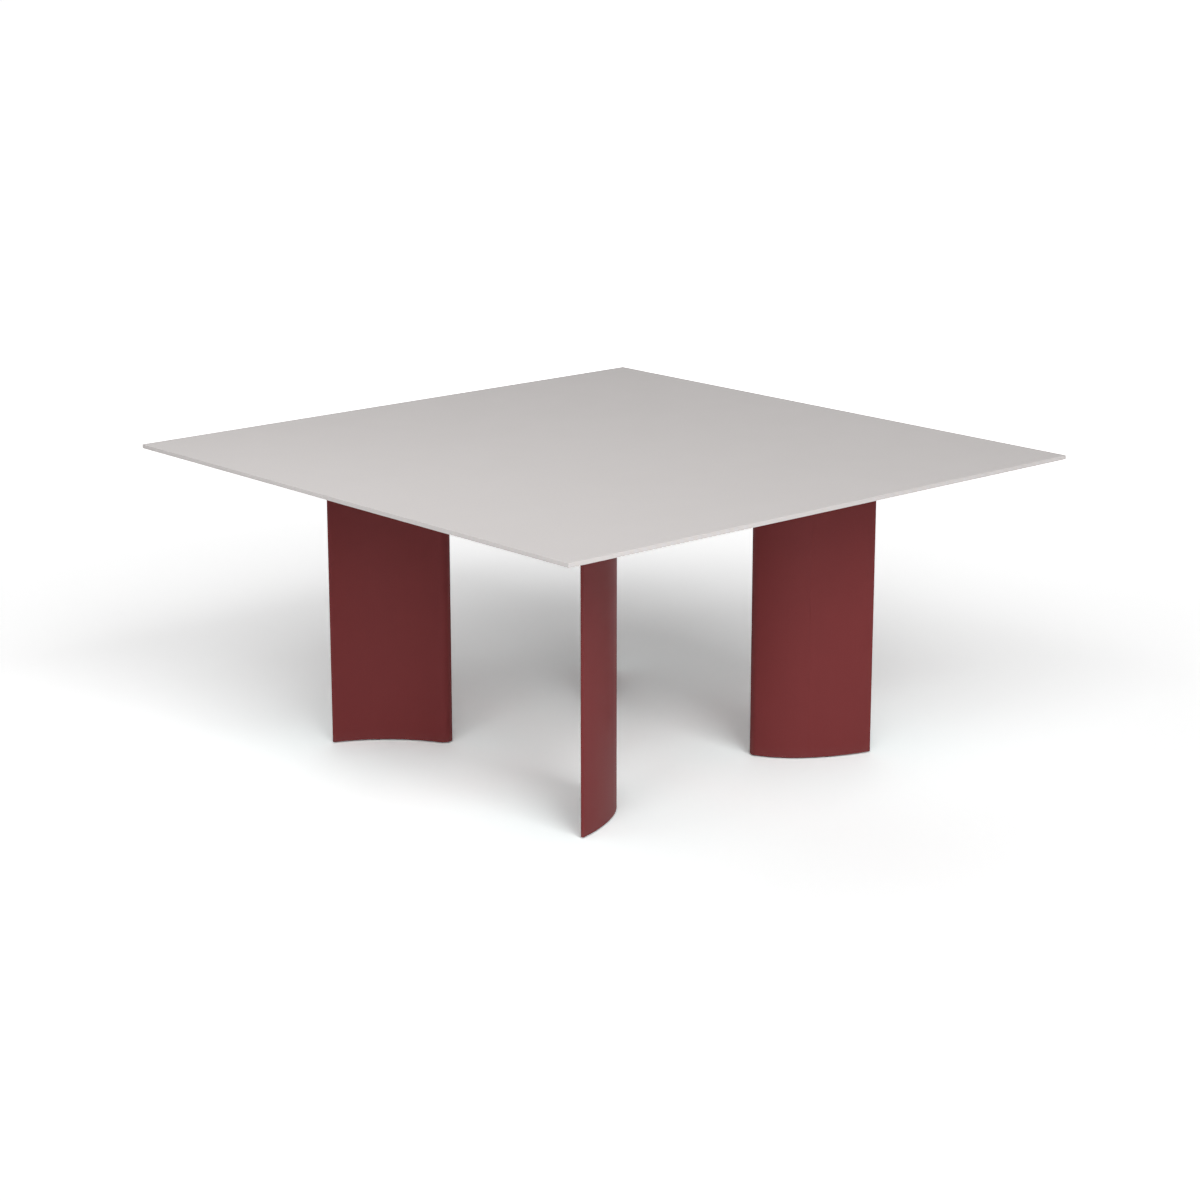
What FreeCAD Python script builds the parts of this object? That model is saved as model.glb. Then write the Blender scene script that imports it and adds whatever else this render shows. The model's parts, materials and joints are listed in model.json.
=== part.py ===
import FreeCAD, Part
import math
import os

os.makedirs("parts", exist_ok=True)
Vector = FreeCAD.Vector
up = Vector(0, 0, 1)

# Overall sizes in mm, with z = 0 on the floor and the origin under the middle of the top
top_side = 1550.0
table_height = 740.0
top_thickness = 10.0
top_corner_radius = 1.5
top_arris = 0.6

# Wing section of a leg, drawn from above for the front right leg, its tip placed from the middle of the table
leg_tip_x = 461.0
leg_tip_y = 459.5
leg_chord = 267.0
leg_angle = 38.4
nose_radius = 21.5
tip_radius = 4.0
convex_radius = 435.0
shoulder_radius = 240.0
nose_draw = 14.5
hollow_radius = 348.0
leg_wall = 2.5
leg_web = 2.5
leg_tip_solid = 22.0
leg_arris = 0.4

# Plates at the two ends of a leg
head_plate_thickness = 6.0
head_plate_margin = 20.0
base_plate_thickness = 6.0
base_plate_recess = 9.0
base_plate_clearance = 0.4
tongue_half_width = 24.0

# Cross beams, flats on edge that tie the four noses together
beam_height = 40.0
beam_thickness = 12.0
beam_end_gap = 4.0
beam_end_chamfer = 14.0
beam_tongue_clearance = 2.0
lap_clearance = 0.2
beam_screw_edge = 15.0
beam_screw_pitch = 40.0

# Screws, inserts and washers
thread_clearance = 0.05
shank_clearance = 0.3
port_screw_radius = 2.5
port_screw_length = 20.0
port_wall = 2.5
frame_screw_radius = 3.0
beam_screw_length = 20.0
lap_screw_grip = 12.0
tapping_spare = 3.0
lap_head_height = 4.0
countersink_ratio = 2.0
round_head_ratio = 1.75
round_head_height = 3.3
socket_ratio = 0.75
socket_depth = 1.8
countersink_edge = 1.2
top_hole_play = 1.0
washer_radius = 6.0
washer_thickness = 1.6
washer_edge = 3.0
insert_radius = 4.5
insert_skin = 2.5
insert_spare = 0.5
screw_end_spare = 0.6

# Levelling feet
foot_proud = 2.5
stem_radius = 4.0
stem_thread_length = 30.0
stem_tip_chamfer = 0.8
bush_wall = 2.0
bush_flange = 1.0
bush_flange_thickness = 1.6
bush_length = 10.0
pad_radius = 8.0
pad_clearance = 1.5
pad_height = 6.0
pad_chamfer = 0.8
pad_floor = 1.6
hexagon_inset = 0.5
collar_gap = 0.3
swivel_clearance = 0.05
swivel_play = 0.1
button_radius = 4.2
button_height = 1.9
neck_radius = 3.0

# Sizes that follow from the ones above
insert_length = top_thickness - insert_skin - insert_spare
top_screw_edge = head_plate_margin - washer_radius - washer_edge
beam_tapping_depth = beam_screw_length - head_plate_thickness + tapping_spare
port_head_radius = port_screw_radius * countersink_ratio
hexagon_radius = pad_radius - hexagon_inset
bush_radius = stem_radius + bush_wall
bush_flange_radius = bush_radius + bush_flange

# Levels
top_underside = table_height - top_thickness
leg_top = top_underside - head_plate_thickness
leg_bottom = foot_proud
base_plate_bottom = leg_bottom + base_plate_recess
base_plate_top = base_plate_bottom + base_plate_thickness
beam_bottom = top_underside - beam_height
beam_middle = top_underside - beam_height / 2


def unit(vector):
    return vector * (1 / vector.Length)


def reach(centre, toward, distance):
    return centre + unit(toward - centre) * distance


def meet(centre_a, distance_a, centre_b, distance_b, side):
    """The point at the two distances from the two centres, on the side where the last point lies."""
    span = centre_b - centre_a
    along = (distance_a ** 2 - distance_b ** 2 + span.Length ** 2) / (2 * span.Length)
    across = math.sqrt(distance_a ** 2 - along ** 2)
    normal = unit(up.cross(span))
    if normal.dot(side - centre_a) < 0:
        normal = -normal
    return centre_a + unit(span) * along + normal * across


# Centres of the section's arcs, each tangent to the next
tip = Vector(leg_tip_x, -leg_tip_y, 0)
to_nose = Vector(-math.cos(math.radians(leg_angle)), math.sin(math.radians(leg_angle)), 0)
nose = tip + to_nose * leg_chord
hollow_side = tip + Vector(leg_chord, leg_chord, 0)
hollow_centre = meet(tip, hollow_radius + tip_radius, nose, hollow_radius + nose_radius, hollow_side)
convex_centre = meet(
    tip, convex_radius - tip_radius, nose, convex_radius - nose_radius - nose_draw, hollow_side)
shoulder_centre = meet(
    convex_centre, convex_radius - shoulder_radius, nose, shoulder_radius - nose_radius, tip)
camber_centre = meet(tip, hollow_radius, nose, hollow_radius, hollow_side)
camber_turn = 2 * math.asin(leg_chord / 2 / hollow_radius)
camber_length = camber_turn * hollow_radius


def camber(place):
    """A point on the middle line of the section, from place 0 at the nose to 1 at the tip."""
    angle = math.degrees(camber_turn) * place
    return camber_centre + FreeCAD.Rotation(up, angle).multVec(nose - camber_centre)


def room_at(place):
    """The radius of the round that fits inside the leg's wall at a place on the middle line."""
    point = camber(place)
    to_hollow = point.distanceToPoint(hollow_centre) - hollow_radius
    to_convex = convex_radius - point.distanceToPoint(convex_centre)
    return min(to_hollow, to_convex) - leg_wall


def furthest_place(radius):
    """The place nearest to the tip where a round of this radius still fits inside the leg."""
    near = 0.0
    far = 1.0
    for step in range(40):
        middle = (near + far) / 2
        if room_at(middle) > radius:
            near = middle
        else:
            far = middle
    return near


def arc(centre, radius, start, end):
    middle = unit(unit(start - centre) + unit(end - centre))
    points = [reach(centre, start, radius), centre + middle * radius, reach(centre, end, radius)]
    return Part.Arc(*points).toShape()


def wing(grow, bottom, top, stop=None):
    """The section grown by an offset, as an upright solid; with a stop it ends flat before the tip."""
    end = stop or tip
    shoulder_join = reach(convex_centre, shoulder_centre, convex_radius)
    nose_convex = reach(shoulder_centre, nose, shoulder_radius + grow)
    nose_hollow = reach(hollow_centre, nose, hollow_radius - grow)
    tip_convex = reach(convex_centre, end, convex_radius + grow)
    tip_hollow = reach(hollow_centre, end, hollow_radius - grow)
    edges = [
        arc(convex_centre, convex_radius + grow, end, shoulder_join),
        arc(shoulder_centre, shoulder_radius + grow, shoulder_join, nose),
        Part.Arc(nose_convex, nose + to_nose * (nose_radius + grow), nose_hollow).toShape(),
        arc(hollow_centre, hollow_radius - grow, nose, end)]
    if stop:
        edges.append(Part.makeLine(tip_hollow, tip_convex))
    else:
        edges.append(Part.Arc(tip_hollow, tip - to_nose * (tip_radius + grow), tip_convex).toShape())
    solid = Part.Face(Part.Wire(edges)).extrude(up * (top - bottom))
    return solid.translated(up * bottom)


def at(point, height):
    return Vector(point.x, point.y, height)


def cylinder(radius, point, bottom, top):
    return Part.makeCylinder(radius, top - bottom, at(point, bottom))


def hexagon(corner_radius, point, bottom, top):
    corners = []
    for step in range(7):
        angle = step * math.pi / 3
        corners.append(at(point, bottom) + Vector(math.cos(angle), math.sin(angle), 0) * corner_radius)
    return Part.Face(Part.makePolygon(corners)).extrude(up * (top - bottom))


def turned(outline, point):
    """A turned piece from a half outline of (radius, height) points that starts and ends on the axis."""
    points = [Vector(radius, 0, height) for radius, height in outline]
    solid = Part.Face(Part.makePolygon(points + points[:1])).revolve(Vector(), up, 360)
    return solid.translated(at(point, 0))


def countersink(radius, point, face, direction):
    """The cone of a countersunk head, sunk from a face at the given height."""
    head = radius * countersink_ratio
    return Part.makeCone(head, radius, head - radius, at(point, face), up * direction)


def countersunk_screw(radius, length, point, face, direction):
    """A countersunk screw with a hexagon socket, its head flush with a face."""
    shank = Part.makeCylinder(radius, length, at(point, face), up * direction)
    depth = socket_depth * direction
    socket = hexagon(radius * socket_ratio, point, min(face, face + depth), max(face, face + depth))
    return shank.fuse(countersink(radius, point, face, direction)).removeSplitter().cut(socket)


def fused(shapes):
    return shapes[0].fuse(shapes[1:]).removeSplitter()


def beam_point(along):
    """A point on the middle line of a beam, measured inwards from the centre of the nose."""
    return reach(nose, Vector(), along)


# Places shared by the pieces of one leg
tip_foot_place = furthest_place(pad_radius + pad_clearance)
tip_port_place = furthest_place(port_head_radius + base_plate_clearance + countersink_edge)
ports = [camber(tip_foot_place / 3), camber(tip_foot_place * 2 / 3), camber(tip_port_place)]
feet = [("nose", nose), ("tip", camber(tip_foot_place))]
tip_stop = camber(1 - leg_tip_solid / camber_length)
plate_stop = camber(1 - (leg_tip_solid + base_plate_clearance) / camber_length)
beam_start = nose_radius + beam_end_gap
beam_screws_along = (beam_start + beam_screw_edge, beam_start + beam_screw_edge + beam_screw_pitch)
beam_screw_points = [beam_point(along) for along in beam_screws_along]
tongue_end = beam_screws_along[1]

# Places of the top screws on the flange around the leg
shoulder_join = reach(convex_centre, shoulder_centre, convex_radius)
shoulder_middle = shoulder_centre + unit(unit(shoulder_join - shoulder_centre) + unit(nose - shoulder_centre))
convex_middle = convex_centre + unit(unit(shoulder_join - convex_centre) + unit(tip - convex_centre))
hollow_nose = unit(nose - hollow_centre)
hollow_tip = unit(tip - hollow_centre)
hollow_middle = unit(hollow_nose + hollow_tip)
top_screw_points = [
    reach(shoulder_centre, shoulder_middle, shoulder_radius + top_screw_edge),
    reach(convex_centre, convex_middle, convex_radius + top_screw_edge),
    hollow_centre + unit(hollow_nose + hollow_middle) * (hollow_radius - top_screw_edge),
    hollow_centre + unit(hollow_tip + hollow_middle) * (hollow_radius - top_screw_edge),
    tip - to_nose * (tip_radius + top_screw_edge)]


def make_leg():
    body = wing(0, leg_bottom, leg_top)
    rim = [edge for edge in body.Edges if edge.BoundBox.ZMax < leg_top / 2]
    body = body.makeChamfer(leg_arris, rim)
    ribs = []
    bores = []
    for port in ports:
        across = Part.makeBox(2 * leg_chord, leg_web, leg_top - leg_bottom)
        across.translate(Vector(-leg_chord, -leg_web / 2, leg_bottom))
        inward = camber_centre - port
        across.rotate(Vector(), up, math.degrees(math.atan2(inward.y, inward.x)))
        ribs.append(across.translated(port))
        bore = port_screw_radius + thread_clearance
        ribs.append(cylinder(bore + port_wall, port, leg_bottom, leg_top))
        bores.append(cylinder(bore, port, leg_bottom, leg_top))
    cells = wing(-leg_wall, leg_bottom, leg_top, tip_stop).cut(ribs)
    pocket = wing(-leg_wall, leg_bottom, base_plate_top, tip_stop)
    return body.cut([cells, pocket] + bores)


def make_head_plate():
    flange = wing(head_plate_margin, leg_top, top_underside)
    length = tongue_end
    strip = Part.makeBox(length, 2 * tongue_half_width, head_plate_thickness)
    strip.translate(Vector(0, -tongue_half_width, leg_top))
    strip.rotate(Vector(), up, math.degrees(math.atan2(-nose.y, -nose.x)))
    strip.translate(nose)
    rounded = cylinder(tongue_half_width, beam_point(length), leg_top, top_underside)
    cuts = []
    for port in ports:
        cuts.append(cylinder(port_screw_radius + shank_clearance, port, leg_top, top_underside))
        cuts.append(countersink(port_screw_radius, port, top_underside, -1))
    for point in beam_screw_points:
        cuts.append(cylinder(frame_screw_radius + shank_clearance, point, leg_top, top_underside))
        cuts.append(countersink(frame_screw_radius, point, top_underside, -1))
    for point in top_screw_points:
        cuts.append(cylinder(frame_screw_radius + top_hole_play, point, leg_top, top_underside))
    return fused([flange, strip, rounded]).cut(cuts)


def make_base_plate():
    plate = wing(-leg_wall - base_plate_clearance, base_plate_bottom, base_plate_top, plate_stop)
    flange_top = base_plate_bottom + bush_flange_thickness
    cuts = []
    for port in ports:
        cuts.append(cylinder(port_screw_radius + shank_clearance, port, base_plate_bottom, base_plate_top))
        cuts.append(countersink(port_screw_radius, port, base_plate_bottom, 1))
    for name, point in feet:
        cuts.append(cylinder(bush_radius, point, base_plate_bottom, base_plate_top))
        cuts.append(cylinder(bush_flange_radius, point, base_plate_bottom, flange_top))
    return plate.cut(cuts)


def make_bush(point):
    bottom = base_plate_bottom
    flange = cylinder(bush_flange_radius, point, bottom, bottom + bush_flange_thickness)
    body = cylinder(bush_radius, point, bottom, bottom + bush_length)
    bore = cylinder(stem_radius + thread_clearance, point, bottom, bottom + bush_length)
    return fused([flange, body]).cut(bore)


def make_pad(point):
    """The pad with the closed socket that keeps the stem's button."""
    ceiling = pad_floor + button_height + 2 * swivel_play
    rim = pad_radius - pad_chamfer
    body = turned([
        (0, 0), (rim, 0), (pad_radius, pad_chamfer),
        (pad_radius, pad_height - pad_chamfer), (rim, pad_height), (0, pad_height)], point)
    socket = cylinder(button_radius + swivel_clearance, point, pad_floor, ceiling)
    throat = cylinder(neck_radius + swivel_clearance, point, pad_floor, pad_height)
    return body.cut([socket, throat])


def make_stem(point):
    """The stem with its button, neck, hexagon and thread."""
    button_bottom = pad_floor + swivel_play
    collar_bottom = pad_height + collar_gap
    collar_top = base_plate_bottom - collar_gap
    thread_top = collar_top + stem_thread_length
    button = cylinder(button_radius, point, button_bottom, button_bottom + button_height)
    neck = cylinder(neck_radius, point, button_bottom, collar_bottom)
    collar = hexagon(hexagon_radius, point, collar_bottom, collar_top)
    thread = turned([
        (0, collar_bottom), (stem_radius, collar_bottom), (stem_radius, thread_top - stem_tip_chamfer),
        (stem_radius - stem_tip_chamfer, thread_top), (0, thread_top)], point)
    return fused([button, neck, collar, thread])


def make_top_screw(point):
    """A round-headed screw that goes up through its washer and the head plate into the insert."""
    head_top = leg_top - washer_thickness
    head_bottom = head_top - round_head_height
    shank_top = top_underside + insert_length - screw_end_spare
    head = cylinder(frame_screw_radius * round_head_ratio, point, head_bottom, head_top)
    rim = [edge for edge in head.Edges if edge.BoundBox.ZMax < head_top - round_head_height / 2]
    head = head.makeChamfer(round_head_height / 2, rim)
    shank = cylinder(frame_screw_radius, point, head_top, shank_top)
    socket = hexagon(frame_screw_radius * socket_ratio, point, head_bottom, head_bottom + socket_depth)
    return fused([head, shank]).cut(socket)


def make_washer(point):
    bottom = leg_top - washer_thickness
    ring = cylinder(washer_radius, point, bottom, leg_top)
    return ring.cut(cylinder(frame_screw_radius + shank_clearance, point, bottom, leg_top))


def make_insert(point):
    end = top_underside + insert_length
    ring = cylinder(insert_radius, point, top_underside, end)
    return ring.cut(cylinder(frame_screw_radius + thread_clearance, point, top_underside, end))


def make_top(insert_points):
    board = Part.makeBox(top_side, top_side, top_thickness)
    board.translate(Vector(-top_side / 2, -top_side / 2, top_underside))
    uprights = [edge for edge in board.Edges if edge.BoundBox.ZLength > top_thickness / 2]
    board = board.makeFillet(top_corner_radius, uprights)
    rims = [edge for edge in board.Edges if edge.BoundBox.ZLength < top_thickness / 2]
    board = board.makeChamfer(top_arris, rims)
    hole_top = top_underside + insert_length + insert_spare
    return board.cut([cylinder(insert_radius, point, top_underside, hole_top) for point in insert_points])


def along_beam(shape, heading):
    return shape.rotated(Vector(), up, math.degrees(math.atan2(heading.y, heading.x)))


def make_bar(heading):
    """A beam without its lap: a flat on edge, stepped down under the tongues and chamfered below."""
    half = nose.Length - beam_start
    step = nose.Length - tongue_end - tongue_half_width - beam_tongue_clearance
    side = [
        (half, leg_top), (step, leg_top), (step, top_underside), (-step, top_underside), (-step, leg_top),
        (-half, leg_top), (-half, beam_bottom + beam_end_chamfer), (beam_end_chamfer - half, beam_bottom),
        (half - beam_end_chamfer, beam_bottom), (half, beam_bottom + beam_end_chamfer)]
    points = [Vector(along, -beam_thickness / 2, height) for along, height in side]
    bar = Part.Face(Part.makePolygon(points + points[:1])).extrude(Vector(0, beam_thickness, 0))
    return along_beam(bar, heading)


def lap_cut(heading, bottom, top):
    """The room that one beam takes out of the other where they cross."""
    width = beam_thickness + 2 * lap_clearance
    room = Part.makeBox(2 * nose.Length, width, top - bottom)
    room.translate(Vector(-nose.Length, -width / 2, bottom))
    return along_beam(room, heading)


def corner_copies(shape):
    """One leg's piece, repeated at the four corners: two mirrored, one turned half round."""
    return {
        "front_right": shape,
        "front_left": shape.mirror(Vector(), Vector(1, 0, 0)),
        "back_right": shape.mirror(Vector(), Vector(0, 1, 0)),
        "back_left": shape.rotated(Vector(), up, 180)}


def at_corners(points):
    """The points of one leg, repeated at the four corners."""
    signs = ((1, 1), (-1, 1), (1, -1), (-1, -1))
    return [Vector(point.x * x, point.y * y, 0) for x, y in signs for point in points]


pieces = {}

# Legs, plates and feet, one of each per corner
for corner, shape in corner_copies(make_leg()).items():
    pieces["leg_" + corner] = shape
for corner, shape in corner_copies(make_head_plate()).items():
    pieces["head_plate_" + corner] = shape
for corner, shape in corner_copies(make_base_plate()).items():
    pieces["base_plate_" + corner] = shape
for foot, point in feet:
    for corner, shape in corner_copies(make_stem(point)).items():
        pieces["foot_stem_" + corner + "_" + foot] = shape
    for corner, shape in corner_copies(make_pad(point)).items():
        pieces["foot_pad_" + corner + "_" + foot] = shape

# Top with its inserts, screws and washers
top_points = at_corners(top_screw_points)
pieces["table_top"] = make_top(top_points)
pieces["top_inserts"] = Part.makeCompound([make_insert(point) for point in top_points])
pieces["top_screws"] = Part.makeCompound([make_top_screw(point) for point in top_points])
pieces["top_washers"] = Part.makeCompound([make_washer(point) for point in top_points])

# Screws and bushes of the plates
port_points = at_corners(ports)
foot_points = at_corners([point for name, point in feet])
beam_points = at_corners(beam_screw_points)
pieces["head_plate_screws"] = Part.makeCompound([
    countersunk_screw(port_screw_radius, port_screw_length, point, top_underside, -1)
    for point in port_points])
pieces["base_plate_screws"] = Part.makeCompound([
    countersunk_screw(port_screw_radius, port_screw_length, point, base_plate_bottom, 1)
    for point in port_points])
pieces["beam_screws"] = Part.makeCompound([
    countersunk_screw(frame_screw_radius, beam_screw_length, point, top_underside, -1)
    for point in beam_points])
pieces["foot_bushes"] = Part.makeCompound([make_bush(point) for point in foot_points])

# Cross beams, halved where they cross, with tapped holes for their screws
lower_heading = nose
upper_heading = Vector(nose.x, -nose.y, 0)
tapped = frame_screw_radius + thread_clearance
tapped_holes = [cylinder(tapped, point, leg_top - beam_tapping_depth, leg_top) for point in beam_points]
lap_top = beam_middle + lap_screw_grip
lap_clear_hole = cylinder(frame_screw_radius + shank_clearance, Vector(), beam_bottom, beam_middle)
lap_tapped_hole = cylinder(tapped, Vector(), beam_middle, lap_top + tapping_spare)
pieces["cross_beam_lower"] = make_bar(lower_heading).cut(
    [lap_cut(upper_heading, beam_middle, top_underside), lap_clear_hole] + tapped_holes)
pieces["cross_beam_upper"] = make_bar(upper_heading).cut(
    [lap_cut(lower_heading, beam_bottom, beam_middle), lap_tapped_hole] + tapped_holes)

# Lap screw from below, with a hexagon socket
lap_head_bottom = beam_bottom - lap_head_height
lap_head = cylinder(frame_screw_radius * round_head_ratio, Vector(), lap_head_bottom, beam_bottom)
lap_shank = cylinder(frame_screw_radius, Vector(), beam_bottom, lap_top)
lap_socket_top = lap_head_bottom + socket_depth
lap_socket = hexagon(frame_screw_radius * socket_ratio, Vector(), lap_head_bottom, lap_socket_top)
pieces["lap_screw"] = fused([lap_head, lap_shank]).cut(lap_socket)

for name, shape in pieces.items():
    shape.exportStep("parts/" + name + ".step")
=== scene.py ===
import json
import math

import bpy
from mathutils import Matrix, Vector


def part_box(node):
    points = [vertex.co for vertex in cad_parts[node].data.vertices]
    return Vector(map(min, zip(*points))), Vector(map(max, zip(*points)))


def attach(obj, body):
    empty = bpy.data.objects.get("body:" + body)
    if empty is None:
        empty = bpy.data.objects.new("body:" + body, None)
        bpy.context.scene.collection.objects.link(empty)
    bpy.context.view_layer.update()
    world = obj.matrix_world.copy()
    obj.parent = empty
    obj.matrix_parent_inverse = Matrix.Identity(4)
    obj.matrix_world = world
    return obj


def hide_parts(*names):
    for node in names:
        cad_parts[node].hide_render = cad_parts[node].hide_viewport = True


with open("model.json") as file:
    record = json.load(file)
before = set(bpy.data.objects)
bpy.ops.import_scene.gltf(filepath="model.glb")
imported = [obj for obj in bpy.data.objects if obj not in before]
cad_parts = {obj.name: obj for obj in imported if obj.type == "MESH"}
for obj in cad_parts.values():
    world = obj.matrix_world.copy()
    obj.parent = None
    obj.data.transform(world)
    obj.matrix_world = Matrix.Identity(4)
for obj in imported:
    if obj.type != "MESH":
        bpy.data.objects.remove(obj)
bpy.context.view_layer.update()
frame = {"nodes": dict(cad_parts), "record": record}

# Camera: lens and sensor in millimetres, places in metres, angles in degrees, for a square picture
camera_lens = 85.0
camera_sensor = 36.0
camera_azimuth = -41.713
camera_elevation = 15.0012
camera_distance = 6.8047
camera_target = Vector((0.0, 0.0, 0.3713))
camera_clip = 200.0

# Studio: each softbox is turned from the camera's own side and aimed at the middle of the table
softbox_aim = Vector((0.0, 0.0, 0.45))
softboxes = {
    "left_front_softbox": dict(turn=-18.0, rise=36.0, away=9.0, wide=5.0, high=3.5, watts=181.0),
    "right_front_softbox": dict(turn=28.0, rise=36.0, away=9.0, wide=5.0, high=3.5, watts=317.0),
    "near_softbox": dict(turn=5.0, rise=50.0, away=5.0, wide=3.5, high=2.5, watts=30.0),
    "low_softbox": dict(turn=10.0, rise=16.0, away=8.0, wide=5.0, high=2.0, watts=137.0),
    "left_softbox": dict(turn=-62.0, rise=50.0, away=2.3, wide=1.2, high=1.2, watts=8.5),
    "back_softbox": dict(turn=180.0, rise=35.0, away=7.0, wide=5.0, high=3.0, watts=60.0),
}
room_glow = 0.15
room_white = (1.0, 1.0, 1.0, 1.0)

# Floor: its glow makes up what the lamps leave short of white, and it is all white beyond the lit ring
floor_side = 60.0
floor_drop = 0.0002
floor_tone = (0.90, 0.90, 0.90, 1.0)
floor_white = 1.08

# Light on the bare floor: brightest at a spot on the camera's side, and falling off all round it
floor_spot = (-2.665, -3.921, 0.0)
floor_spot_light = 2.211
floor_spot_reach = 3.155
floor_spot_fall = 0.452
lit_ring_inner = 2.6
lit_ring_outer = 5.0

# Tone of the lamps' light on the floor as it is seen: it leans away from red where the legs throw theirs
floor_seen_tone = (1.7, 1.7, 1.7)
floor_tone_by_legs = (1.535, 1.7, 1.7)
by_legs_reach = 0.32

# Colours of the finishes
greige = (0.60, 0.57, 0.56)
greige_rubbed = (0.66, 0.63, 0.62)
brown_red = (0.165, 0.028, 0.029)
brown_red_rubbed = (0.21, 0.050, 0.050)
dust_grey = (0.30, 0.27, 0.26)
zinc_blue = (0.60, 0.63, 0.66)
zinc_straw = (0.66, 0.63, 0.56)
brass_light = (0.72, 0.52, 0.24)
brass_brown = (0.58, 0.38, 0.15)
nylon_black = (0.020, 0.020, 0.021)
nylon_scuffed = (0.075, 0.073, 0.071)

# Surfaces of the coated and the metal pieces, with sizes in metres
leg_coat = dict(cloud_size=0.15, cloud_spread=0.02, peel_size=0.0016, peel_depth=0.00006, roughness=0.52)
frame_coat = dict(cloud_size=0.08, cloud_spread=0.05, peel_size=0.0012, peel_depth=0.00005, roughness=0.50)
rolled_metal = dict(cloud_size=0.03, grain_size=0.0006, grain_depth=0.00001, roughness=0.38)
turned_metal = dict(cloud_size=0.008, grain_size=0.0003, grain_depth=0.000005, roughness=0.30)

# Noise lies around its middle; a narrow band of it makes hard patches and a wide one soft patches
noise_middle = 0.5
soft_band = (0.25, 0.75)
patch_band = (0.3, 0.7)
hard_band = (0.35, 0.65)
cloud_detail = 2.0
patch_detail = 3.0
dust_detail = 4.0

# Foot stem, in metres: the thread has the usual coarse pitch for its size
thread_radius = 0.004
thread_pitch = 0.00125
thread_depth = 0.00075
thread_crest = thread_pitch / 8
thread_root = thread_pitch / 4
thread_flank = (thread_pitch - thread_crest - thread_root) / 2
thread_steps = 24
thread_spare_turns = 2
thread_chamfer = 0.0008
blank_spare = 0.0002
hexagon_sides = 6
stem_hexagon_radius = 0.0075
stem_hexagon_turn = math.radians(30.0)
stem_hexagon_bevel = 0.0004
stem_neck_radius = 0.003
stem_button_radius = 0.0042
stem_button_bevel = 0.0003
stem_button_height = 0.0019
stem_hexagon_rise = 0.0046
stem_hexagon_height = 0.0049
stem_overlap = 0.001
round_sides = 40
eased_segments = 2
flat_end = 0.99
weld_reach = 0.000002
cut_reach = 0.0000001
smooth_angle = math.radians(35.0)


def node(tree, kind, sockets=None, **settings):
    """Add a shader node; sockets gives an input its value, or the output that feeds it."""
    made = tree.nodes.new("ShaderNode" + kind)
    for name, value in settings.items():
        setattr(made, name, value)
    for key, value in (sockets or {}).items():
        if isinstance(value, bpy.types.NodeSocket):
            tree.links.new(value, made.inputs[key])
        else:
            made.inputs[key].default_value = value
    return made


def calculate(tree, operation, first, second=0.0):
    """One step of arithmetic on values or outputs."""
    return node(tree, "Math", {0: first, 1: second}, operation=operation).outputs[0]


def plus(tree, first, second):
    """The sum of two values or outputs."""
    return calculate(tree, "ADD", first, second)


def minus(tree, first, second):
    """One value or output less another."""
    return calculate(tree, "SUBTRACT", first, second)


def times(tree, first, second):
    """The product of two values or outputs."""
    return calculate(tree, "MULTIPLY", first, second)


def over(tree, first, second):
    """One value or output divided by another."""
    return calculate(tree, "DIVIDE", first, second)


def larger(tree, first, second):
    """The larger of two values or outputs."""
    return calculate(tree, "MAXIMUM", first, second)


def spread_over(tree, value, start, end, low=0.0, high=1.0):
    """A value taken from low at start to high at end, and held there beyond them."""
    ends = {"Value": value, "From Min": start, "From Max": end, "To Min": low, "To Max": high}
    return node(tree, "MapRange", ends).outputs["Result"]


def height_of(tree, vector):
    """The upright part of a place or normal."""
    return node(tree, "SeparateXYZ", {0: vector}).outputs["Z"]


def toned(tree, colour, tone):
    """A colour made lighter or darker by a tone."""
    return node(tree, "VectorMath", {0: colour, 1: tone}, operation="MULTIPLY").outputs[0]


def mixed(tree, mask, first, second):
    """One colour that gives way to another by a mask."""
    ends = [end if isinstance(end, bpy.types.NodeSocket) else (*end, 1.0) for end in (first, second)]
    return node(tree, "Mix", {0: mask, 6: ends[0], 7: ends[1]}, data_type="RGBA").outputs[2]


def noise(tree, place, size, detail):
    """Cloudy noise around its middle, with patches of about the given size."""
    scale = over(tree, 1.0, size)
    return node(tree, "TexNoise", {"Vector": place, "Scale": scale, "Detail": detail}).outputs["Fac"]


def around_one(tree, cloud, spread):
    """Noise made into a tone that swings around 1, by spread at most."""
    swing = times(tree, minus(tree, cloud, noise_middle), spread)
    return plus(tree, times(tree, swing, 1.0 / noise_middle), 1.0)


def new_group(name, inputs, outputs):
    """An empty shader node group with float inputs and outputs, and a vector input for the place."""
    group = bpy.data.node_groups.new(name, "ShaderNodeTree")
    group.interface.new_socket("Place", in_out="INPUT", socket_type="NodeSocketVector")
    for label, value in inputs.items():
        socket = group.interface.new_socket(label, in_out="INPUT", socket_type="NodeSocketFloat")
        socket.default_value = value
    for label in outputs:
        group.interface.new_socket(label, in_out="OUTPUT", socket_type="NodeSocketFloat")
    return group, group.nodes.new("NodeGroupInput").outputs, group.nodes.new("NodeGroupOutput").inputs


def make_mottle():
    """Slow cloudy change of tone: 1 on average, more or less by Spread."""
    group, given, result = new_group("mottle", {"Patch Size": 0.1, "Spread": 0.02}, ["Tone"])
    cloud = noise(group, given["Place"], given["Patch Size"], cloud_detail)
    group.links.new(around_one(group, cloud, given["Spread"]), result["Tone"])
    return group


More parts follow.
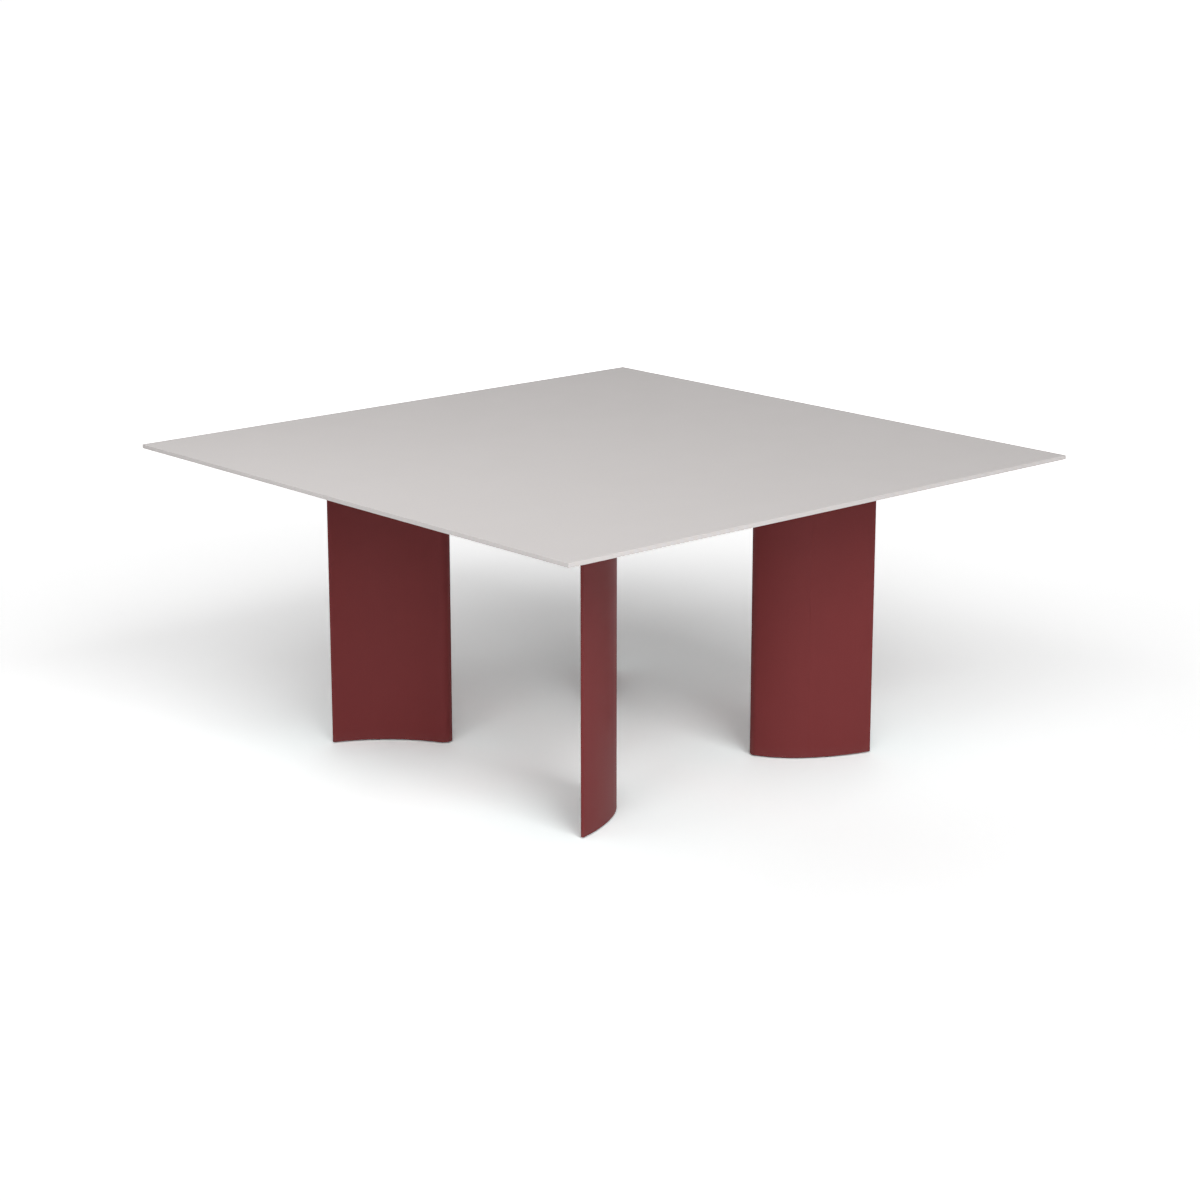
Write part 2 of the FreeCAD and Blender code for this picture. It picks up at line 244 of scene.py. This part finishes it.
def make_fine_grain():
    """Fine pebbled surface of powder coat or matt laminate, seen close up: broad peel with pits in it."""
    pit_share = 0.3
    group, given, result = new_group("fine_grain", {"Grain Size": 0.001, "Pits": 0.4}, ["Height"])
    pit_size = times(group, given["Grain Size"], pit_share)
    pits = times(group, noise(group, given["Place"], pit_size, cloud_detail), given["Pits"])
    peel = noise(group, given["Place"], given["Grain Size"], cloud_detail)
    group.links.new(plus(group, peel, pits), result["Height"])
    return group


def make_drawn_lines():
    """Straight lines up the piece, left by drawing or rolling: 1 on average, more or less by Spread."""
    inputs = {"Line Width": 0.003, "Line Length": 0.6, "Spread": 0.02}
    group, given, result = new_group("drawn_lines", inputs, ["Tone"])
    places = node(group, "SeparateXYZ", {0: given["Place"]}).outputs
    across = [over(group, places[axis], given["Line Width"]) for axis in ("X", "Y")]
    along = over(group, places["Z"], given["Line Length"])
    stretched = node(group, "CombineXYZ", {0: across[0], 1: across[1], 2: along}).outputs[0]
    lines = noise(group, stretched, 1.0, cloud_detail)
    group.links.new(around_one(group, lines, given["Spread"]), result["Tone"])
    return group


def make_rubbed_edges():
    """Mask of the edges that hands and cloths rub: patchy along a sharp edge, and 0 on open faces."""
    agreed_on_face = 0.985
    agreed_on_edge = 0.80
    least_rub = 0.3
    group, given, result = new_group("rubbed_edges", {"Reach": 0.001, "Patch Size": 0.03}, ["Rub"])
    rounded = node(group, "Bevel", {"Radius": given["Reach"]}, samples=6).outputs["Normal"]
    facing = node(group, "NewGeometry").outputs["Normal"]
    agreed = node(group, "VectorMath", {0: rounded, 1: facing}, operation="DOT_PRODUCT").outputs["Value"]
    edge = spread_over(group, agreed, agreed_on_face, agreed_on_edge)
    patches = noise(group, given["Place"], given["Patch Size"], patch_detail)
    patchy = spread_over(group, patches, *hard_band, least_rub, 1.0)
    group.links.new(times(group, edge, patchy), result["Rub"])
    return group


def make_floor_dust():
    """Mask of the thin dust and mop marks that gather just above the floor."""
    fade_power = 2.0
    least_dust = 0.2
    group, given, result = new_group("floor_dust", {"Reach": 0.03, "Patch Size": 0.012}, ["Dust"])
    low = over(group, height_of(group, given["Place"]), given["Reach"])
    fade = calculate(group, "POWER", spread_over(group, low, 0.0, 1.0, 1.0, 0.0), fade_power)
    patches = noise(group, given["Place"], given["Patch Size"], dust_detail)
    patchy = spread_over(group, patches, *patch_band, least_dust, 1.0)
    group.links.new(times(group, fade, patchy), result["Dust"])
    return group


mottle = make_mottle()
fine_grain = make_fine_grain()
drawn_lines = make_drawn_lines()
rubbed_edges = make_rubbed_edges()
floor_dust = make_floor_dust()


def use_group(tree, group, place, **values):
    """Place a group in a material with its own values, and give its one output."""
    made = node(tree, "Group", node_tree=group)
    tree.links.new(place, made.inputs["Place"])
    for name, value in values.items():
        made.inputs[name.replace("_", " ")].default_value = value
    return made.outputs[0]


def new_material(name, **constants):
    """A new material, its shader and its object place; constants are set on the shader's own sockets."""
    material = bpy.data.materials.new(name)
    material.use_nodes = True
    tree = material.node_tree
    shader = tree.nodes["Principled BSDF"]
    for label, value in constants.items():
        shader.inputs[label.replace("_", " ")].default_value = value
    return material, tree, shader, node(tree, "TexCoord").outputs["Object"]


def finish_surface(tree, shader, colour, roughness, height, depth):
    """Link a surface's colour, roughness and height to its shader."""
    tree.links.new(colour, shader.inputs["Base Color"])
    tree.links.new(roughness, shader.inputs["Roughness"])
    bump = node(tree, "Bump", {"Height": height, "Distance": depth, "Strength": 1.0})
    tree.links.new(bump.outputs["Normal"], shader.inputs["Normal"])


def sawn_edge_tone(tree, place):
    """Tone of the board: 1 on its faces, and fine layers on its upright sawn edges."""
    sheet_thickness = 0.00022
    layer_detail = 1.0
    darkest_layer = 0.965
    lightest_layer = 1.025
    slope_of_face = 0.35
    slope_of_edge = 0.15
    facing = height_of(tree, node(tree, "NewGeometry").outputs["Normal"])
    upright = spread_over(tree, calculate(tree, "ABSOLUTE", facing), slope_of_face, slope_of_edge)
    layer_count = over(tree, height_of(tree, place), sheet_thickness)
    stack = {"W": layer_count, "Scale": 1.0, "Detail": layer_detail}
    layers = node(tree, "TexNoise", stack, noise_dimensions="1D").outputs["Fac"]
    layer_tone = spread_over(tree, layers, *soft_band, darkest_layer, lightest_layer)
    return spread_over(tree, upright, 0.0, 1.0, 1.0, layer_tone)


def make_laminate():
    """Matt greige solid laminate: an even face, layers on its sawn edges and lightly rubbed arrises."""
    rub_lightens = 0.4
    rub_polishes = 0.08
    face_roughness = 0.65
    grain_depth = 0.000025
    material, tree, shader, place = new_material("greige_laminate", Specular_IOR_Level=0.3)
    cloud = use_group(tree, mottle, place, Patch_Size=0.22, Spread=0.008)
    fleck = use_group(tree, mottle, place, Patch_Size=0.0016, Spread=0.05)
    rub = use_group(tree, rubbed_edges, place, Reach=0.0012, Patch_Size=0.05)
    face = toned(tree, greige, times(tree, cloud, fleck))
    colour = mixed(tree, times(tree, rub, rub_lightens), face, greige_rubbed)
    colour = toned(tree, colour, sawn_edge_tone(tree, place))
    wipe = use_group(tree, mottle, place, Patch_Size=0.09, Spread=0.06)
    worn = minus(tree, face_roughness, times(tree, rub, rub_polishes))
    height = use_group(tree, fine_grain, place, Grain_Size=0.0008, Pits=0.5)
    finish_surface(tree, shader, colour, times(tree, worn, wipe), height, grain_depth)
    return material


def make_powder_coat(name, cloud_size, cloud_spread, peel_size, peel_depth, roughness, **constants):
    """Brown-red powder coat on drawn metal: peel, faint draw lines, rubbed edges and some floor dust."""
    rub_lightens = 0.6
    rub_polishes = 0.10
    dust_greys = 0.07
    dust_dulls = 0.12
    drift_share = 0.4
    material, tree, shader, place = new_material(name, **constants)
    cloud = use_group(tree, mottle, place, Patch_Size=cloud_size, Spread=cloud_spread)
    speck = use_group(tree, mottle, place, Patch_Size=0.0014, Spread=0.14)
    lines = use_group(tree, drawn_lines, place, Line_Width=0.004, Line_Length=0.9, Spread=0.02)
    rub = use_group(tree, rubbed_edges, place, Reach=0.0015, Patch_Size=0.02)
    dust = use_group(tree, floor_dust, place, Reach=0.035, Patch_Size=0.010)
    face = toned(tree, brown_red, times(tree, times(tree, cloud, speck), lines))
    colour = mixed(tree, times(tree, rub, rub_lightens), face, brown_red_rubbed)
    colour = mixed(tree, times(tree, dust, dust_greys), colour, dust_grey)
    drift = use_group(tree, mottle, place, Patch_Size=cloud_size * drift_share, Spread=0.06)
    worn = minus(tree, roughness, times(tree, rub, rub_polishes))
    worn = plus(tree, worn, times(tree, dust, dust_dulls))
    height = use_group(tree, fine_grain, place, Grain_Size=peel_size, Pits=0.35)
    finish_surface(tree, shader, colour, times(tree, worn, drift), height, peel_depth)
    return material


def make_plated_metal(name, light, dark, cloud_size, grain_size, grain_depth, roughness):
    """Plated or turned metal: a cloudy tint, fine tool lines and brighter rubbed edges."""
    rub_brightens = 0.12
    rub_polishes = 0.08
    line_stretch = 30
    drift_share = 0.5
    material, tree, shader, place = new_material(name, Metallic=1.0)
    cloud = spread_over(tree, noise(tree, place, cloud_size, patch_detail), *patch_band)
    line_length = grain_size * line_stretch
    lines = use_group(tree, drawn_lines, place, Line_Width=grain_size, Line_Length=line_length, Spread=0.06)
    rub = use_group(tree, rubbed_edges, place, Reach=0.0004, Patch_Size=0.006)
    bright = plus(tree, lines, times(tree, rub, rub_brightens))
    colour = toned(tree, mixed(tree, cloud, light, dark), bright)
    drift = use_group(tree, mottle, place, Patch_Size=cloud_size * drift_share, Spread=0.25)
    worn = minus(tree, roughness, times(tree, rub, rub_polishes))
    height = use_group(tree, fine_grain, place, Grain_Size=grain_size, Pits=0.5)
    finish_surface(tree, shader, colour, times(tree, worn, drift), height, grain_depth)
    return material


def make_nylon():
    """Moulded black nylon: a fine spark-eroded texture, and a rim that the floor has scuffed grey."""
    rub_greys = 0.5
    scuff_greys = 0.6
    wear_dulls = 0.2
    moulded_roughness = 0.48
    texture_depth = 0.00002
    material, tree, shader, place = new_material("moulded_nylon", Specular_IOR_Level=0.4)
    cloud = use_group(tree, mottle, place, Patch_Size=0.006, Spread=0.12)
    rub = use_group(tree, rubbed_edges, place, Reach=0.0006, Patch_Size=0.003)
    scuff = use_group(tree, floor_dust, place, Reach=0.003, Patch_Size=0.0012)
    wear = larger(tree, times(tree, rub, rub_greys), times(tree, scuff, scuff_greys))
    colour = mixed(tree, wear, toned(tree, nylon_black, cloud), nylon_scuffed)
    worn = plus(tree, moulded_roughness, times(tree, wear, wear_dulls))
    height = use_group(tree, fine_grain, place, Grain_Size=0.0003, Pits=0.6)
    finish_surface(tree, shader, colour, times(tree, worn, cloud), height, texture_depth)
    return material


def pick(piece):
    """Make one piece alone selected and active."""
    bpy.ops.object.select_all(action="DESELECT")
    piece.select_set(True)
    bpy.context.view_layer.objects.active = piece


def edit(piece):
    """Open one piece alone in edit mode, with all of it selected."""
    pick(piece)
    bpy.ops.object.mode_set(mode="EDIT")
    bpy.ops.mesh.select_mode(type="VERT")
    bpy.ops.mesh.select_all(action="SELECT")


def close(piece):
    """Leave edit mode."""
    bpy.ops.object.mode_set(mode="OBJECT")
    return piece


def select_faces(piece, chosen):
    """Select, in edit mode, the faces for which chosen(face) holds."""
    bpy.ops.mesh.select_mode(type="FACE")
    bpy.ops.mesh.select_all(action="DESELECT")
    bpy.ops.object.mode_set(mode="OBJECT")
    for face in piece.data.polygons:
        face.select = chosen(face)
    bpy.ops.object.mode_set(mode="EDIT")


def looks_up(face):
    """Whether a face is a flat upper end."""
    return face.normal.z > flat_end


def looks_up_or_down(face):
    """Whether a face is a flat end, upper or lower."""
    return abs(face.normal.z) > flat_end


def apply_modifier(piece, modifier):
    """Apply a modifier of one piece."""
    pick(piece)
    bpy.ops.object.modifier_apply(modifier=modifier.name)


def apply_place(piece):
    """Put a piece's place and turn into its mesh."""
    pick(piece)
    bpy.ops.object.transform_apply(location=True, rotation=True, scale=True)


def combine(piece, other, operation):
    """Fuse another closed mesh into a piece, or keep what the two share, and weld the seams."""
    joining = piece.modifiers.new("joining", "BOOLEAN")
    joining.operation = operation
    joining.solver = "EXACT"
    joining.object = other
    apply_modifier(piece, joining)
    bpy.data.objects.remove(other)
    edit(piece)
    bpy.ops.mesh.remove_doubles(threshold=weld_reach)
    bpy.ops.mesh.dissolve_degenerate(threshold=weld_reach)
    close(piece)


def make_bar(sides, radius, bottom, top, turn=0.0):
    """A plain upright bar on the axis, open in edit mode for its shaping."""
    bpy.ops.object.select_all(action="DESELECT")
    bpy.ops.mesh.primitive_cylinder_add(
        vertices=sides, radius=radius, depth=top - bottom,
        location=(0.0, 0.0, (bottom + top) / 2), rotation=(0.0, 0.0, turn))
    bar = bpy.context.object
    apply_place(bar)
    edit(bar)
    return bar


def make_thread(bottom, top):
    """The threaded rod: one tooth is drawn point by point, wound up the axis and cut at both ends."""
    bpy.ops.object.select_all(action="DESELECT")
    bpy.ops.mesh.primitive_plane_add(size=thread_pitch, location=(0.0, 0.0, 0.0))
    rod = bpy.context.object
    edit(rod)
    bpy.ops.mesh.merge(type="CENTER")
    first_root = bottom - thread_spare_turns * thread_pitch
    bpy.ops.transform.translate(value=(thread_radius - thread_depth, 0.0, first_root))
    tooth = [
        (thread_depth, 0.0, thread_flank),
        (0.0, 0.0, thread_crest),
        (-thread_depth, 0.0, thread_flank),
        (0.0, 0.0, thread_root),
    ]
    for step in tooth:
        bpy.ops.mesh.extrude_region_move(TRANSFORM_OT_translate={"value": step})
    close(rod)
    winding = rod.modifiers.new("winding", "SCREW")
    winding.axis = "Z"
    winding.screw_offset = thread_pitch
    winding.iterations = math.ceil((top - bottom) / thread_pitch) + 2 * thread_spare_turns
    winding.steps = thread_steps
    winding.render_steps = thread_steps
    apply_modifier(rod, winding)
    edit(rod)
    bpy.ops.mesh.remove_doubles(threshold=weld_reach)
    for level, outward in ((top, 1.0), (bottom, -1.0)):
        bpy.ops.mesh.select_all(action="SELECT")
        bpy.ops.mesh.bisect(
            plane_co=(0.0, 0.0, level), plane_no=(0.0, 0.0, outward), use_fill=True, clear_outer=True,
            threshold=cut_reach)
    bpy.ops.mesh.select_all(action="SELECT")
    bpy.ops.mesh.normals_make_consistent(inside=False)
    return close(rod)


def make_blank(bottom, top):
    """The round bar that the thread is kept within, with the rim of its upper end chamfered."""
    blank = make_bar(round_sides, thread_radius + blank_spare, bottom, top)
    select_faces(blank, looks_up)
    bpy.ops.mesh.bevel(offset=thread_chamfer + blank_spare, segments=1, affect="EDGES")
    return close(blank)


def make_hexagon(bottom, top):
    """The spanner hexagon with its rims eased."""
    hexagon = make_bar(hexagon_sides, stem_hexagon_radius, bottom, top, stem_hexagon_turn)
    select_faces(hexagon, looks_up_or_down)
    bpy.ops.mesh.bevel(offset=stem_hexagon_bevel, segments=eased_segments, affect="EDGES")
    return close(hexagon)


def make_button(bottom, neck_top):
    """The flat button that the pad holds, with its rims eased, and the neck above it."""
    button = make_bar(round_sides, stem_button_radius, bottom, bottom + stem_button_height)
    select_faces(button, looks_up_or_down)
    bpy.ops.mesh.bevel(offset=stem_button_bevel, segments=eased_segments, affect="EDGES")
    select_faces(button, looks_up)
    bpy.ops.mesh.inset(thickness=stem_button_radius - stem_button_bevel - stem_neck_radius)
    lift = neck_top - bottom - stem_button_height
    bpy.ops.mesh.extrude_region_move(TRANSFORM_OT_translate={"value": (0.0, 0.0, lift)})
    return close(button)


def make_stem_pattern(bottom, top):
    """One threaded foot stem on the axis: the thread, its hexagon and the button below."""
    hexagon_bottom = bottom + stem_hexagon_rise
    hexagon_top = hexagon_bottom + stem_hexagon_height
    pattern = make_thread(hexagon_top - stem_overlap, top + thread_pitch)
    combine(pattern, make_blank(hexagon_bottom, top), "INTERSECT")
    combine(pattern, make_hexagon(hexagon_bottom, hexagon_top), "UNION")
    combine(pattern, make_button(bottom, hexagon_bottom + stem_overlap), "UNION")
    return pattern


def make_stems(finish):
    """The threaded foot stems: one is modelled as a pattern, and each foot gets its own copy of it."""
    nodes = [part["node"] for part in frame["record"]["subparts"]]
    stem_nodes = [name for name in nodes if name.startswith("foot_stem_")]
    low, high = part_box(stem_nodes[0])
    pattern = make_stem_pattern(low[2], high[2])
    for stem_node in stem_nodes:
        low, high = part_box(stem_node)
        pick(pattern)
        bpy.ops.object.duplicate(linked=False)
        stem = bpy.context.object
        stem.name = "threaded_" + stem_node
        bpy.ops.transform.translate(value=((low[0] + high[0]) / 2, (low[1] + high[1]) / 2, 0.0))
        apply_place(stem)
        bpy.ops.object.shade_smooth_by_angle(angle=smooth_angle)
        stem.data.materials.clear()
        stem.data.materials.append(finish)
        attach(stem, stem_node.replace("foot_stem_", "stem_"))
        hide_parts(stem_node)
    bpy.data.objects.remove(pattern)


def seen_directly(tree):
    """1 for the camera's own view and for mirrored or see-through views, 0 for light that only bounces."""
    path = node(tree, "LightPath").outputs
    seen = larger(tree, path["Is Camera Ray"], path["Is Glossy Ray"])
    return larger(tree, seen, path["Is Transmission Ray"])


def bare_floor_light(tree, place):
    """How bright the lamps make the bare floor, down to nothing at the rim of the lit ring."""
    from_spot = node(tree, "VectorMath", {0: place, 1: floor_spot}, operation="DISTANCE").outputs["Value"]
    far = over(tree, from_spot, floor_spot_reach)
    fall = calculate(tree, "POWER", plus(tree, times(tree, far, far), 1.0), -floor_spot_fall)
    from_middle = node(tree, "VectorMath", {0: place}, operation="LENGTH").outputs["Value"]
    ring = spread_over(tree, from_middle, lit_ring_inner, lit_ring_outer, 1.0, 0.0)
    return times(tree, times(tree, fall, floor_spot_light), ring)


def seen_floor_tone(tree, place):
    """Tone of the lamps' light on the floor, by the distance to the nearest leg."""
    low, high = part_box("leg_back_right")
    leg_middle = ((low[0] + high[0]) / 2, (low[1] + high[1]) / 2, 0.0)
    quarter = node(tree, "VectorMath", {0: place}, operation="ABSOLUTE").outputs["Vector"]
    from_leg = node(tree, "VectorMath", {0: quarter, 1: leg_middle}, operation="DISTANCE").outputs["Value"]
    by_leg = calculate(tree, "EXPONENT", over(tree, from_leg, -by_legs_reach))
    return mixed(tree, by_leg, floor_seen_tone, floor_tone_by_legs)


def make_floor():
    """Plain floor: it takes the table's shadow, is white where light reaches it, and clear from below."""
    bpy.ops.object.select_all(action="DESELECT")
    bpy.ops.mesh.primitive_plane_add(size=floor_side, location=(0.0, 0.0, -floor_drop))
    floor = bpy.context.object
    floor.name = "studio_floor"
    material = bpy.data.materials.new("studio_floor")
    material.use_nodes = True
    tree = material.node_tree
    tree.nodes.clear()
    place = node(tree, "TexCoord").outputs["Object"]
    lit = bare_floor_light(tree, place)
    glow = larger(tree, minus(tree, floor_white, lit), 0.0)
    emission = node(tree, "Emission", {"Strength": glow})
    share = over(tree, floor_white, larger(tree, lit, floor_white))
    seen_colour = toned(tree, seen_floor_tone(tree, place), share)
    lit_by_lamps = node(tree, "BsdfDiffuse", {"Color": seen_colour})
    seen = node(tree, "AddShader", {0: lit_by_lamps.outputs[0], 1: emission.outputs[0]})
    plain = node(tree, "BsdfDiffuse", {"Color": floor_tone})
    above = node(tree, "MixShader", {0: seen_directly(tree), 1: plain.outputs[0], 2: seen.outputs[0]})
    clear = node(tree, "BsdfTransparent")
    below = node(tree, "NewGeometry").outputs["Backfacing"]
    sides = node(tree, "MixShader", {0: below, 1: above.outputs[0], 2: clear.outputs[0]})
    node(tree, "OutputMaterial", {"Surface": sides.outputs[0]})
    floor.data.materials.append(material)


def make_world():
    """White to the camera and to reflections, and a low even fill for everything else."""
    world = bpy.data.worlds.new("studio")
    bpy.context.scene.world = world
    world.use_nodes = True
    tree = world.node_tree
    tree.nodes.clear()
    strength = spread_over(tree, seen_directly(tree), 0.0, 1.0, room_glow, 1.0)
    background = node(tree, "Background", {"Color": room_white, "Strength": strength})
    node(tree, "OutputWorld", {"Surface": background.outputs[0]})


def direction(azimuth, elevation):
    """Unit vector from the table towards a viewer or lamp; azimuth 0 stands on the -Y side."""
    turn = math.radians(azimuth)
    rise = math.radians(elevation)
    return Vector((math.sin(turn) * math.cos(rise), -math.cos(turn) * math.cos(rise), math.sin(rise)))


def make_lamps():
    """Softboxes round the table, most of them on the camera's side."""
    for name, box in softboxes.items():
        lamp = bpy.data.lights.new(name, "AREA")
        lamp.shape = "RECTANGLE"
        lamp.size = box["wide"]
        lamp.size_y = box["high"]
        lamp.energy = box["watts"]
        holder = bpy.data.objects.new(name, lamp)
        bpy.context.collection.objects.link(holder)
        back = direction(camera_azimuth + box["turn"], box["rise"])
        holder.location = softbox_aim + back * box["away"]
        holder.rotation_euler = (-back).to_track_quat("-Z", "Y").to_euler()


def make_camera():
    """Camera at the photograph's viewing angle."""
    data = bpy.data.cameras.new("camera")
    data.lens = camera_lens
    data.sensor_width = camera_sensor
    data.clip_end = camera_clip
    camera = bpy.data.objects.new("camera", data)
    bpy.context.collection.objects.link(camera)
    back = direction(camera_azimuth, camera_elevation)
    camera.location = camera_target + back * camera_distance
    camera.rotation_euler = (math.radians(90.0 - camera_elevation), 0.0, math.radians(camera_azimuth))
    bpy.context.scene.camera = camera


finishes = {
    "top_laminate": make_laminate(),
    "leg_coating": make_powder_coat("brown_red_coat", **leg_coat, Specular_IOR_Level=0.15),
    "frame_coating": make_powder_coat("frame_coat", **frame_coat, Specular_IOR_Level=0.3),
    "plate_zinc": make_plated_metal("zinc_plate", zinc_blue, zinc_straw, **rolled_metal),
    "screw_zinc": make_plated_metal("zinc_screw", zinc_blue, zinc_straw, **turned_metal),
    "insert_brass": make_plated_metal("turned_brass", brass_light, brass_brown, **turned_metal),
    "foot_pad": make_nylon(),
}
for part in frame["record"]["subparts"]:
    frame["nodes"][part["node"]].material_slots[0].material = finishes[part["material_slot"]]

make_stems(finishes["screw_zinc"])
make_floor()
make_world()
make_lamps()
make_camera()

bpy.context.scene.view_settings.view_transform = "Standard"
